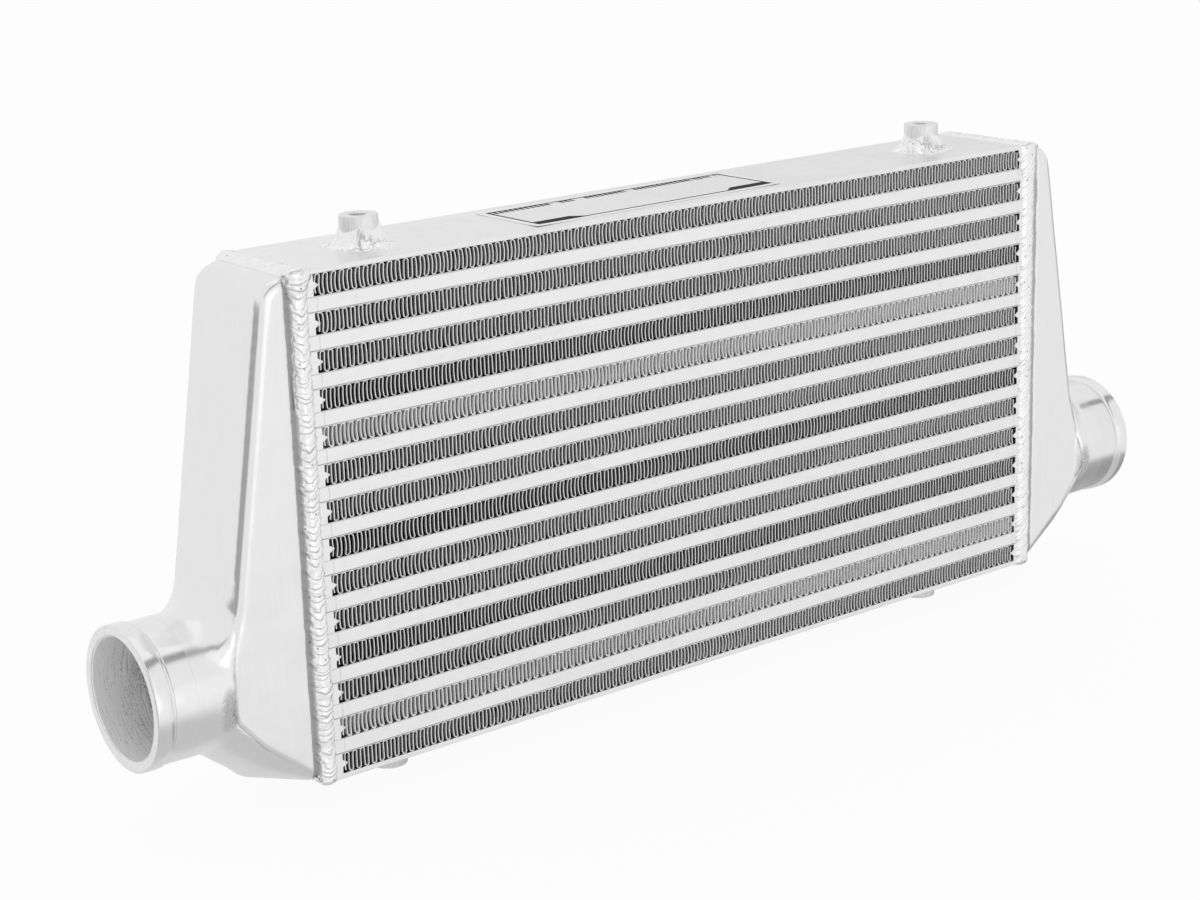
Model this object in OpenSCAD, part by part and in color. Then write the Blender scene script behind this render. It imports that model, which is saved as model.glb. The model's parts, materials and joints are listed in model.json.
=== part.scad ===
// Air to air intercooler: a brazed bar and plate core between two cast end tanks, each with its own
// hose neck, and four threaded bungs to bolt it up by.
// X runs from the left tank to the right one, the front face looks along -Y and Z is up.
// The origin is below the middle of the core, level with the faces of the lower bungs.

/* [Core] */
// Length of the core, between the two tanks
core_length = 450; // [360:10:560]
// Depth of the core, from the front face to the back one
core_depth = 60; // [52:1:76]
// Number of ambient air rows; there is one charge air row fewer
air_rows = 14; // [10:1:17]
// Height of an ambient air row between its parting sheets
air_height = 9.4; // [8:0.1:11]
// Height of a charge air row between its parting sheets
charge_height = 6.4; // [5:0.1:8]
// Thickness of a parting sheet
sheet_gauge = 0.4; // [0.3:0.1:0.8]
// Thickness of the top and bottom side plates
plate_gauge = 2.4; // [1.6:0.1:4]

/* [Closing bars] */
// Depth of the bars that close a charge row at the front and back
face_bar_width = 7; // [5:0.5:9]
// Width of the bars that close an air row at its ends, without the nose
end_bar_width = 9; // [6:0.5:12]
// How far the nose of an end bar stands out towards the fins
nose_reach = 2.5; // [1:0.1:4]
// Height of the nose where it leaves the bar
nose_root = 3.4; // [2:0.1:6]
// Height of the flat at the tip of the nose
nose_tip = 0.5; // [0.2:0.1:1]

/* [Fins] */
// Number of full waves folded into one ambient air fin
fin_waves = 101; // [70:1:120]
// Thickness of the ambient air fin strip
fin_gauge = 0.25; // [0.15:0.05:0.35]
// Flat of each fold of an ambient air fin, brazed to its sheet
fin_crest = 1.1; // [0.7:0.1:1.3]
// Room between the last leg of an ambient air fin and the nose of the bar
fin_end_gap = 0.4; // [0.2:0.1:1.5]
// Number of full waves folded into one charge air fin
charge_waves = 11; // [7:1:14]
// Thickness of the charge air fin strip
charge_gauge = 0.3; // [0.2:0.05:0.4]
// Flat of each fold of a charge air fin
charge_crest = 1.2; // [0.8:0.1:1.3]
// Room between a charge air fin and the bars beside it
charge_side_gap = 0.4; // [0.2:0.1:1]
// How far a charge air fin stops short of the ends of the core
charge_end_gap = 1; // [0:0.5:4]

/* [Tanks] */
// Wall thickness of the cast tanks
tank_wall = 3.2; // [2.5:0.1:5]
// How far the faces of a tank lie inside the faces of the core
tank_recess = 1; // [0.5:0.1:1.5]
// Reach of a tank at its upper shoulder, from the end of the core
shoulder_reach = 17; // [13:0.5:24]
// Roundness of the upper shoulder, seen from the front
shoulder_radius = 11; // [8:0.5:14]
// Drop from the top of the core to the top of the shoulder
shoulder_drop = 2.5; // [2:0.5:8]
// Roundness of the long folds of a tank
fold_radius = 5; // [4:0.5:7]
// Reach of a tank where the neck leaves it
neck_root_reach = 43.5; // [36:0.5:56]
// Reach of the belly below the neck, where its round bottom is lowest
belly_reach = 28; // [12:1:32]
// Height of the belly's lowest line above the bottom of the core
belly_lift = 1.5; // [1:0.5:5]
// Reach of the belly along the underside of the neck
throat_reach = 49.5; // [44:0.5:58]
// Width of the belly's end under the neck
throat_width = 48; // [36:1:56]
// Depth of the straight rim that meets the core
rim_depth = 3; // [2:0.5:5]

/* [Necks] */
// Outside diameter of a hose neck
neck_od = 63.5; // [57:0.5:66]
// Bore of a hose neck
port_d = 55; // [48:0.5:57]
// Depth of a neck's axis below the middle of the core
neck_drop = 62.5; // [50:0.5:70]
// Distance from the end of the core to the end of a neck
neck_end_reach = 80; // [70:1:110]
// Outside diameter of the bead at the end of a neck
bead_od = 65.2; // [64:0.1:70]
// Width of the bead
bead_width = 8; // [5:0.5:12]
// Rounding of the bead's edges
bead_edge = 0.7; // [0.3:0.1:0.8]
// Chamfer at the mouth of the bore
mouth_chamfer = 0.8; // [0.4:0.1:1.5]
// Radius of the blend from the tank into the neck
neck_blend = 6; // [4:0.5:10]

/* [Bungs] */
// Diameter of a mounting bung
bung_d = 17.5; // [14:0.5:22]
// Height of a mounting bung above its side plate
bung_height = 13.7; // [10:0.1:20]
// Distance from a bung's axis to the nearer end of the core, along X
bung_inset = 52; // [30:1:70]
// Tapping diameter of the thread in a bung
tap_d = 6.8; // [5:0.1:8.5]
// Depth of the threaded hole
tap_depth = 11; // [8:0.5:13]
// Countersink at the mouth of the threaded hole
tap_chamfer = 0.6; // [0.2:0.1:1]
// Chamfer around the free end of a bung
bung_chamfer = 0.5; // [0.2:0.1:1]

/* [Welds] */
// Width of the weld around the end of the core
seam_width = 9.6; // [8:0.2:13]
// Height of that weld above the faces of the core
seam_crown = 1.8; // [1.2:0.1:2.5]
// Diameter of the weld at the foot of a bung
bung_weld_d = 32; // [26:1:38]
// Height that the weld climbs up a bung
bung_weld_height = 5.5; // [3:0.5:8]
// Thickness of the weld at its outer edge
bung_weld_toe = 0.5; // [0.3:0.1:1]

/* [Label] */
// Length of the foil label on the top plate
label_length = 150; // [80:5:180]
// Depth of the label
label_depth = 47; // [30:1:50]
// Thickness of the label
label_gauge = 0.3; // [0.2:0.05:0.6]
// Place of the label's middle along X
label_x = -20; // [-60:5:60]
// Turn of the label, as it was stuck on by hand
label_turn = 1; // [-3:0.5:3]

/* [Hidden] */
row_pitch = air_height + charge_height + 2 * sheet_gauge;
charge_rows = air_rows - 1;
core_height = air_rows * row_pitch - charge_height - 2 * sheet_gauge + 2 * plate_gauge;
core_bottom = bung_height;
core_top = core_bottom + core_height;
core_end = core_length / 2;
core_face = core_depth / 2;
// Height of the first air row's lower sheet, and so of the bottom plate's top
stack_bottom = core_bottom + plate_gauge;

fin_end = core_end - end_bar_width - nose_reach - fin_end_gap;
charge_fin_half = core_face - face_bar_width - charge_side_gap;

// Distance of a bung from the middle of the core, along X
bung_x = core_end - bung_inset;

// Half depth of a tank, and heights of its rim
tank_half = core_face - tank_recess;
rim_bottom = core_bottom + tank_recess;
rim_top = core_top - tank_recess;
rim_corner = 4;
neck_z = (core_bottom + core_top) / 2 - neck_drop;
shoulder_z = core_top - shoulder_drop - shoulder_radius;
belly_z = core_bottom + belly_lift + neck_od / 2;
// How far the belly's end under the neck is smaller than the neck in radius
throat_inset = (neck_od - throat_width) / 2;
neck_end = core_end + neck_end_reach;
// The neck starts a little inside the tank's outer wall
neck_start = core_end + neck_root_reach - 2 * tank_wall;

// The weld is the part of a round bar that shows outside the core and the tank
seam_radius = (seam_width * seam_width / 4 + seam_crown * seam_crown) / (2 * seam_crown);

// Facets of the rounded castings, and of true round surfaces
cast_facets = 32;
round_facets = 96;
// Small overlap that lets a cut run out of a face
cut = 1;
// Depth of the discs that span the belly
disc_depth = 0.5;

function two_digits(number) = number < 10 ? str("0", number) : str(number);
function numbered(name, count) = [for (i = [1 : count]) str(name, two_digits(i))];

AIR_FINS = numbered("air_fin_", air_rows);
CHARGE_FINS = numbered("charge_fin_", charge_rows);

// Heights of the rows, counted from the top
function air_row_z(row) = stack_bottom + (air_rows - 1 - row) * row_pitch;
function charge_row_z(row) = air_row_z(row) - sheet_gauge - charge_height;

// Outline of a thin strip bent along a path, with mitred corners
function unit(v) = v / norm(v);
function side_of(v) = [-v[1], v[0]];
function mitre(path, i) =
    let (last = len(path) - 1,
         before = unit(path[max(i, 1)] - path[max(i, 1) - 1]),
         after = unit(path[min(i, last - 1) + 1] - path[min(i, last - 1)]),
         across = side_of(before) + side_of(after))
    across * 2 / (across * across);
function strip_outline(path, gauge) = concat(
    [for (i = [0 : len(path) - 1]) path[i] + mitre(path, i) * gauge / 2],
    [for (i = [len(path) - 1 : -1 : 0]) path[i] - mitre(path, i) * gauge / 2]);

// Middle line of a folded fin: flat crests in turn at the top and the bottom, steep legs between
function fin_path(half_length, waves, crest, height, gauge) =
    let (step = half_length / waves, reach = (height - gauge) / 2)
    [for (fold = [0 : 2 * waves - 1], end = [-1, 1])
        [-half_length + (fold + 0.5) * step + end * crest / 2, (fold % 2 == 0 ? 1 : -1) * reach]];

// A fin standing on z = 0, folded along X and as deep as it is extruded in Y
module folded_fin(half_length, waves, crest, height, gauge, depth)
    translate([0, depth / 2, height / 2])
        rotate([90, 0, 0])
            linear_extrude(depth)
                polygon(strip_outline(fin_path(half_length, waves, crest, height, gauge), gauge));

// A block between two corners
module block(low, high) translate(low) cube(high - low);

module side_plate(bottom)
    color("gainsboro")
        block([-core_end, -core_face, bottom], [core_end, core_face, bottom + plate_gauge]);

module parting_sheets()
    color("silver")
        for (row = [0 : charge_rows - 1], lift = [-sheet_gauge, charge_height])
            translate([-core_end, -core_face, charge_row_z(row) + lift])
                cube([core_length, core_depth, sheet_gauge]);

// The bars that close the charge rows: side is -1 at the front and 1 at the back
module face_bars(side)
    color("whitesmoke")
        for (row = [0 : charge_rows - 1])
            translate([-core_end, side < 0 ? -core_face : core_face - face_bar_width, charge_row_z(row)])
                cube([core_length, face_bar_width, charge_height]);

// Section of a bar that closes an air row, with its nose towards +X and its root at x = 0
module end_bar_section() {
    nose_x = end_bar_width + nose_reach;
    polygon([
        [0, 0], [end_bar_width, 0], [end_bar_width, (air_height - nose_root) / 2],
        [nose_x, (air_height - nose_tip) / 2], [nose_x, (air_height + nose_tip) / 2],
        [end_bar_width, (air_height + nose_root) / 2], [end_bar_width, air_height], [0, air_height]]);
}

// The bars at one end of the air rows: side is -1 at the left and 1 at the right
module end_bars(side)
    color("whitesmoke")
        for (row = [0 : air_rows - 1])
            translate([side * core_end, 0, air_row_z(row)])
                mirror([side > 0 ? 1 : 0, 0, 0])
                    translate([0, core_face, 0])
                        rotate([90, 0, 0])
                            linear_extrude(core_depth) end_bar_section();

module air_fin(row)
    color("darkgray")
        translate([0, 0, air_row_z(row)])
            folded_fin(fin_end, fin_waves, fin_crest, air_height, fin_gauge, core_depth);

module charge_fin(row)
    color("darkgray")
        translate([0, 0, charge_row_z(row)])
            rotate([0, 0, 90])
                folded_fin(charge_fin_half, charge_waves, charge_crest, charge_height, charge_gauge,
                    core_length - 2 * charge_end_gap);

// A round bar of the tank along Y, with rounded rims, shrunk by the inset
module rounded_roller(x, z, radius, rim, inset)
    for (side = [-1, 1])
        translate([x, side * (tank_half - rim), z])
            rotate([90, 0, 0])
                rotate_extrude($fn = cast_facets)
                    translate([radius - rim, 0])
                        intersection() {
                            circle(r = rim - inset, $fn = cast_facets);
                            translate([-(radius - rim), -rim]) square([radius, 2 * rim]);
                        }

// A thin disc as wide as the neck. The round belly runs from the neck's root down to a lower one
module belly_disc(x, z, inset)
    translate([x - disc_depth, 0, z])
        rotate([0, 90, 0])
            cylinder(r = neck_od / 2 - inset, h = disc_depth, $fn = 2 * cast_facets);

// The convex body of a tank that stands out of the right end of the core. The inset shrinks it
// on all sides, and a start below zero carries it into the core's end
module tank_body(inset, start)
    intersection() {
        translate([core_end, 0, 0])
            hull() {
                for (side = [-1, 1], z = [rim_bottom + rim_corner, rim_top - rim_corner])
                    translate([start, side * (tank_half - rim_corner), z])
                        rotate([0, 90, 0])
                            cylinder(r = rim_corner - inset, h = rim_depth - start, $fn = cast_facets);
                rounded_roller(shoulder_reach - shoulder_radius, shoulder_z, shoulder_radius, fold_radius,
                    inset);
                for (side = [-1, 1])
                    translate([neck_root_reach - fold_radius, side * (tank_half - fold_radius), neck_z])
                        sphere(r = fold_radius - inset, $fn = cast_facets);
                belly_disc(neck_root_reach - inset, neck_z, inset);
                belly_disc(belly_reach, belly_z, inset);
            }
        block([core_end + start, -tank_half + inset, core_bottom], [neck_end, tank_half - inset, core_top]);
    }

// The belly's end, which runs out in a narrower round along the underside of the neck
module throat()
    intersection() {
        translate([core_end, 0, 0])
            hull() {
                belly_disc(throat_reach, neck_z - throat_inset, throat_inset);
                belly_disc(neck_root_reach, neck_z, 0);
                belly_disc(belly_reach, belly_z, 0);
            }
        block([core_end, -tank_half, core_bottom], [neck_end, tank_half, core_top]);
    }

// Half section of a neck in radius and X: the tube and the rounded bead at its end
module neck_section() {
    tube_r = neck_od / 2;
    bead_r = bead_od / 2;
    bead_start = neck_end - bead_width;
    polygon(concat(
        [[0, neck_start], [tube_r, neck_start], [tube_r, bead_start - (bead_r - tube_r)],
         [bead_r, bead_start]],
        [for (a = [0 : 15 : 90]) [bead_r - bead_edge * (1 - cos(a)), neck_end - bead_edge * (1 - sin(a))]],
        [[0, neck_end]]));
}

// Half section of the hollow blend between the tank's outer wall and the neck
module blend_section() {
    tube_r = neck_od / 2;
    blend_x = core_end + neck_root_reach;
    polygon(concat(
        [[tube_r - cut, neck_start], [tube_r + neck_blend, neck_start]],
        [for (a = [0 : 9 : 90]) [tube_r + neck_blend * (1 - sin(a)), blend_x + neck_blend * (1 - cos(a))]],
        [[tube_r - cut, blend_x + neck_blend]]));
}

module round_neck()
    translate([0, 0, neck_z])
        rotate([0, 90, 0])
            rotate_extrude($fn = round_facets) neck_section();

// The blend runs round the upper half of the neck only, no wider than the tank
module neck_blend_ring()
    intersection() {
        translate([0, 0, neck_z])
            rotate([0, 90, 0])
                rotate_extrude($fn = round_facets) blend_section();
        block([core_end, -tank_half, neck_z], [neck_end, tank_half, core_top]);
    }

// The machined bore of a neck, from its mouth to the tank's inner space
module port_cut()
    translate([0, 0, neck_z])
        rotate([0, 90, 0]) {
            translate([0, 0, core_end + neck_root_reach - tank_wall - cut])
                cylinder(d = port_d, h = neck_end_reach, $fn = round_facets);
            translate([0, 0, neck_end - mouth_chamfer])
                cylinder(d1 = port_d, d2 = port_d + 2 * (mouth_chamfer + cut), h = mouth_chamfer + cut,
                    $fn = round_facets);
        }

module end_tank(side)
    color("lightgray")
        mirror([side < 0 ? 1 : 0, 0, 0])
            difference() {
                union() {
                    tank_body(0, 0);
                    throat();
                    round_neck();
                    neck_blend_ring();
                }
                tank_body(tank_wall, -cut);
                port_cut();
            }

// A round bar that lies just under the surface all round the joint of core and tank
module seam_bar() {
    depth = seam_radius - seam_crown;
    half = core_face - depth;
    low = core_bottom + depth;
    high = core_top - depth;
    translate([core_end, 0, 0]) {
        for (side = [-1, 1]) {
            translate([0, side * half, low]) cylinder(r = seam_radius, h = high - low, $fn = round_facets);
            translate([0, half, side < 0 ? low : high])
                rotate([90, 0, 0]) cylinder(r = seam_radius, h = 2 * half, $fn = round_facets);
            for (z = [low, high])
                translate([0, side * half, z]) sphere(r = seam_radius, $fn = round_facets);
        }
    }
}

module seam_weld(side)
    color("white")
        mirror([side < 0 ? 1 : 0, 0, 0])
            difference() {
                seam_bar();
                block([0, -core_face, core_bottom], [core_end, core_face, core_top]);
                tank_body(0, -cut);
            }

// A bung that stands up from z = 0, with its blind threaded hole
module bung()
    color("lightgray")
        difference() {
            union() {
                cylinder(d = bung_d, h = bung_height - bung_chamfer, $fn = round_facets);
                translate([0, 0, bung_height - bung_chamfer])
                    cylinder(d1 = bung_d, d2 = bung_d - 2 * bung_chamfer, h = bung_chamfer,
                        $fn = round_facets);
            }
            translate([0, 0, bung_height - tap_depth])
                cylinder(d = tap_d, h = tap_depth + cut, $fn = round_facets);
            translate([0, 0, bung_height - tap_chamfer])
                cylinder(d1 = tap_d, d2 = tap_d + 2 * (tap_chamfer + cut), h = tap_chamfer + cut,
                    $fn = round_facets);
        }

// The weld around the foot of a bung: a hollow fillet from the plate up to the bung's side
module bung_weld()
    color("white")
        rotate_extrude($fn = round_facets)
            polygon(concat(
                [[bung_d / 2, 0], [bung_weld_d / 2, 0], [bung_weld_d / 2, bung_weld_toe]],
                [for (a = [15 : 15 : 75])
                    [bung_weld_d / 2 - (bung_weld_d - bung_d) / 2 * sin(a),
                     bung_weld_toe + (bung_weld_height - bung_weld_toe) * (1 - cos(a))]],
                [[bung_d / 2, bung_weld_height]]));

// Puts a part on the top plate, or upside down under the bottom one
module on_plate(side_x, side_z)
    translate([side_x * bung_x, 0, side_z > 0 ? core_top : core_bottom])
        mirror([0, 0, side_z > 0 ? 0 : 1]) children();

module label()
    color("whitesmoke")
        translate([label_x, 0, core_top])
            rotate([0, 0, label_turn])
                translate([-label_length / 2, -label_depth / 2, 0])
                    cube([label_length, label_depth, label_gauge]);

end_tank(-1);  // end_tank_left
end_tank(1);  // end_tank_right
side_plate(core_top - plate_gauge);  // side_plate_top
side_plate(core_bottom);  // side_plate_bottom
face_bars(-1);  // front_bars
face_bars(1);  // back_bars
end_bars(-1);  // left_end_bars
end_bars(1);  // right_end_bars
parting_sheets();
for (row = [0 : air_rows - 1])
    air_fin(row);
for (row = [0 : charge_rows - 1])
    charge_fin(row);
on_plate(-1, 1) bung();  // bung_top_left
on_plate(1, 1) bung();  // bung_top_right
on_plate(-1, -1) bung();  // bung_bottom_left
on_plate(1, -1) bung();  // bung_bottom_right
on_plate(-1, 1) bung_weld();  // bung_weld_top_left
on_plate(1, 1) bung_weld();  // bung_weld_top_right
on_plate(-1, -1) bung_weld();  // bung_weld_bottom_left
on_plate(1, -1) bung_weld();  // bung_weld_bottom_right
seam_weld(-1);  // seam_weld_left
seam_weld(1);  // seam_weld_right
label();
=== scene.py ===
import json
import math
import random

import bmesh
import bpy
from mathutils import Matrix, Vector, noise


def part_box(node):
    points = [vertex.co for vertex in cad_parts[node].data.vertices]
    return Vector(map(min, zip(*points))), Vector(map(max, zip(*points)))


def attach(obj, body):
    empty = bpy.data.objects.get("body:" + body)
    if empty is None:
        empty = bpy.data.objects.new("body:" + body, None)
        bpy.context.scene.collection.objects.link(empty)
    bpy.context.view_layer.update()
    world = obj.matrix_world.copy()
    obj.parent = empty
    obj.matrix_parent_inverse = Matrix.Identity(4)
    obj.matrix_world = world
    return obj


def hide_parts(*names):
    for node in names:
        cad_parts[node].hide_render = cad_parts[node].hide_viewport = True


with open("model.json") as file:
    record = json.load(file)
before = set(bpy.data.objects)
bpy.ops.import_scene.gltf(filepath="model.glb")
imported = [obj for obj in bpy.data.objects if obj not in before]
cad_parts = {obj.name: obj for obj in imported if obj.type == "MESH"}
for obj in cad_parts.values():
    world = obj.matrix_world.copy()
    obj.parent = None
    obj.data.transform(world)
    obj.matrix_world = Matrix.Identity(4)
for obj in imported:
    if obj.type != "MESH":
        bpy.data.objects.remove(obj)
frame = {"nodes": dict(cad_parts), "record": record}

noise.seed_set(5)  # noise_vector depends on it

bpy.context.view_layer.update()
mm = 0.001  # shapes are made in millimetres and scaled at the end
front, back = -1, 1
left, right = -1, 1


def nodeBox(name):  # lowest and highest corner of a frame node, in millimetres
    low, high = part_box(name)
    return low / mm, high / mm


def mountOf(name):
    return next(m for m in frame["record"]["mounts"] if m["name"] == name)


corner = nodeBox("side_plate_top")[1]
core = {"end": corner.x, "face": corner.y, "top": corner.z, "bottom": nodeBox("side_plate_bottom")[0].z}
core["height"], core["middle"] = core["top"] - core["bottom"], (core["top"] + core["bottom"]) / 2
neck = {
    "end": nodeBox("end_tank_right")[1].x,
    "z": mountOf("port_right")["pos_m"][2] / mm,
    "boreRadius": mountOf("port_right")["dims"]["r_mm"],
    "beadRadius": mountOf("hose_neck_right")["dims"]["r_mm"],
    "radius": 31.75,
}
airRows = sorted(n for n in frame["nodes"] if n.startswith("air_fin"))
chargeRows = sorted(n for n in frame["nodes"] if n.startswith("charge_fin"))
print("frame read:", len(frame["nodes"]), "nodes")


# Shader expressions

class Wire:  # a socket that can be used in sums
    def __init__(self, paint, socket):
        self.paint = paint
        self.socket = socket

    def math(self, operation, *others, clamp=False):
        settings = {"operation": operation, "use_clamp": clamp}
        return self.paint.node("ShaderNodeMath", settings, dict(enumerate((self,) + others)))

    def __add__(self, other):
        return self.math("ADD", other)

    def __sub__(self, other):
        return self.math("SUBTRACT", other)

    def __rsub__(self, other):
        return self.paint.node("ShaderNodeMath", {"operation": "SUBTRACT"}, {0: other, 1: self})

    def __mul__(self, other):
        return self.math("MULTIPLY", other)

    def __truediv__(self, other):
        return self.math("DIVIDE", other)

    __radd__, __rmul__ = __add__, __mul__

    def size(self):
        return self.math("ABSOLUTE")

    def clamped(self):
        return self.math("ADD", 0.0, clamp=True)

    def squared(self):
        return self.math("POWER", 2)

    def swing(self, amount):  # noise around 0.5 becomes a change up and down
        return (self - 0.5) * amount

    def toward(self, other, share):
        return self * (1 - share) + share * other

    def above(self, edge, blur):  # 0 below the edge and 1 above it
        settings = {"interpolation_type": "SMOOTHSTEP"}
        sockets = {"Value": self, "From Min": edge - blur, "From Max": edge + blur}
        return self.paint.node("ShaderNodeMapRange", settings, sockets)

    def below(self, edge, blur):
        return 1 - self.above(edge, blur)

    def scaled(self, factors):  # a vector stretched along its axes
        return self.paint.node("ShaderNodeVectorMath", {"operation": "MULTIPLY"}, {0: self, 1: factors})


class Graph:  # the nodes of a material or of the world
    def __init__(self, owner):
        owner.use_nodes = True
        self.tree = owner.node_tree

    def node(self, kind, settings, sockets, output=0):
        made = self.tree.nodes.new(kind)
        for setting, value in settings.items():
            setattr(made, setting, value)
        for key, value in sockets.items():
            self.feed(made.inputs[key], value)
        return Wire(self, made.outputs[output])

    def feed(self, socket, value):
        if isinstance(value, Wire):
            self.tree.links.new(value.socket, socket)
        else:
            socket.default_value = value

    def axes(self, vector):
        split = self.node("ShaderNodeSeparateXYZ", {}, {0: vector})
        return split, Wire(self, split.socket.node.outputs[1]), Wire(self, split.socket.node.outputs[2])

    def blended(self, factor, first, second):  # between two shaders
        return self.node("ShaderNodeMixShader", {}, {0: factor, 1: first, 2: second})

    def surface(self, owner, shader):
        self.feed(self.tree.nodes[owner + " Output"].inputs["Surface"], shader)

    def grey(self, value):  # a grey colour out of a number
        return self.node("ShaderNodeCombineColor", {}, {0: value, 1: value, 2: value})


class Paint(Graph):  # one material with a Principled shader
    def __init__(self, name, metallic=1.0, coat=0.0):
        self.material = bpy.data.materials.new(name)
        super().__init__(self.material)
        self.shader = self.tree.nodes["Principled BSDF"]
        self.shader.inputs["Metallic"].default_value = metallic
        self.shader.inputs["Coat Weight"].default_value = coat
        coordinates = self.node("ShaderNodeTexCoord", {}, {}, "Object")
        self.place = coordinates.scaled((1 / mm,) * 3)  # in millimetres

    def stored(self, name):  # a value kept on the corners of the mesh
        return self.node("ShaderNodeAttribute", {"attribute_name": name}, {}, "Fac")

    def grain(self, scale, detail=3.0, roughness=0.5, stretch=None):  # noise around 0.5
        vector = self.place.scaled(stretch) if stretch else self.place
        sockets = {"Vector": vector, "Scale": scale, "Detail": detail, "Roughness": roughness}
        return self.node("ShaderNodeTexNoise", {}, sockets)

    def pits(self, scale):  # distance to the nearest of scattered points
        return self.node("ShaderNodeTexVoronoi", {}, {"Vector": self.place, "Scale": scale})

    def polyline(self, across, up, points):  # distance to a line of straight pieces
        nearest = 1000
        for start, end in zip(points[:-1], points[1:]):
            run, rise = end[0] - start[0], end[1] - start[1]
            length = run * run + rise * rise
            along = (((across - start[0]) * run + (up - start[1]) * rise) / length).clamped()
            apart = (across - start[0] - along * run).squared() + (up - start[1] - along * rise).squared()
            nearest = apart.math("SQRT").math("MINIMUM", nearest)
        return nearest

    def bumped(self, height, distance, under=None):  # height in units of the distance
        sockets = {"Height": height, "Distance": distance * mm, "Strength": 1}
        if under:
            sockets["Normal"] = under
        return self.node("ShaderNodeBump", {}, sockets)

    def done(self, tone, roughness, normal=None):
        self.feed(self.shader.inputs["Base Color"], self.grey(tone.clamped()))
        self.feed(self.shader.inputs["Roughness"], roughness.clamped())
        if normal:
            self.feed(self.shader.inputs["Normal"], normal)
        return self.material


# crease at the edge of the tank's flat faces, below the neck: (reach beyond the core, height)
faceCrease = ((36.5, 106), (43.7, 59), (40.2, 51.7), (28, 37.6), (6, 20))


def castMetal():
    look = {
        "tone": 0.87, "mottle": 0.05, "roughness": 0.2, "grain": 0.015, "wobble": 0.48, "faceFrom": 26,
        "hollow": 0.3, "hollowWidth": 1.0, "hollowTop": 97, "line": 0.34, "lineWidth": 0.25, "lineTop": 90,
        "patch": 0.55, "patchTone": 0.2, "patchReach": 45.5, "patchDrop": 5.5, "patchSize": (4.2, 11),
        "patchFrom": 20, "strip": 5.3, "stripTone": 0.45, "stripGap": 3.5, "matt": 0.25,
    }
    paint = Paint("castMetal")
    x, y, z = paint.axes(paint.place)
    reach = x.size() - core["end"]
    cloud = paint.grain(0.045, 2)
    fine = paint.grain(2.2, 4, 0.6)
    streaks = paint.grain(1.0, 4, 0.6, (0.5, 0.5, 0.03))
    onFace = y.size().above(look["faceFrom"], 1.5)
    crease = paint.polyline(reach, z, faceCrease) + paint.grain(0.4, 2).swing(0.6)
    hollow = crease.below(look["hollowWidth"], 1.1) * onFace * z.below(look["hollowTop"], 5)
    hollow = hollow * (z.above(44, 8) * 0.75 + 0.25)  # the hollow and its line get weaker lower down
    # painted shade: a dark line along the crease where the flat face folds
    line = crease.below(look["lineWidth"], 0.35) * onFace * paint.grain(0.15, 2).above(0.36, 0.12)
    line = line * z.below(look["lineTop"], 6) * (z.above(38, 8) * 0.8 + 0.2)
    patchWidth, patchHeight = look["patchSize"]  # rough skin where the crease passes the neck
    fromPatch = ((reach - look["patchReach"]) / patchWidth).squared()
    fromPatch = fromPatch + ((z - neck["z"] + look["patchDrop"]) / patchHeight).squared()
    rough = fromPatch.below(0.8, 0.7) * y.size().above(look["patchFrom"], 6)
    rough = rough * paint.grain(0.9, 3).above(0.4, 0.12)
    # painted shade: a dark strip on the tank beside the weld stands in for the shadow in the groove there;
    # the strip is also made matt
    wave = paint.grain(0.12, 3).swing(1.4) + paint.grain(0.5, 3).swing(0.7)
    strip = (reach + wave).below(look["strip"], 0.25) * z.below(core["top"] - look["stripGap"], 1)
    tone = look["tone"] + cloud.swing(look["mottle"]) + streaks.swing(look["mottle"])
    tone = tone - rough * look["patchTone"] - line * look["line"]
    tone = tone.toward(look["stripTone"] + fine.swing(0.3), strip)
    roughness = look["roughness"] + cloud.swing(0.1) + fine.swing(0.08) + (rough + strip) * look["matt"]
    normal = paint.bumped(cloud, look["wobble"])
    normal = paint.bumped(1 - hollow, look["hollow"], normal)
    normal = paint.bumped(fine + streaks * 1.5, look["grain"], normal)
    normal = paint.bumped(rough * paint.grain(1.9, 3), look["patch"], normal)
    return paint.done(tone, roughness, normal)


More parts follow.
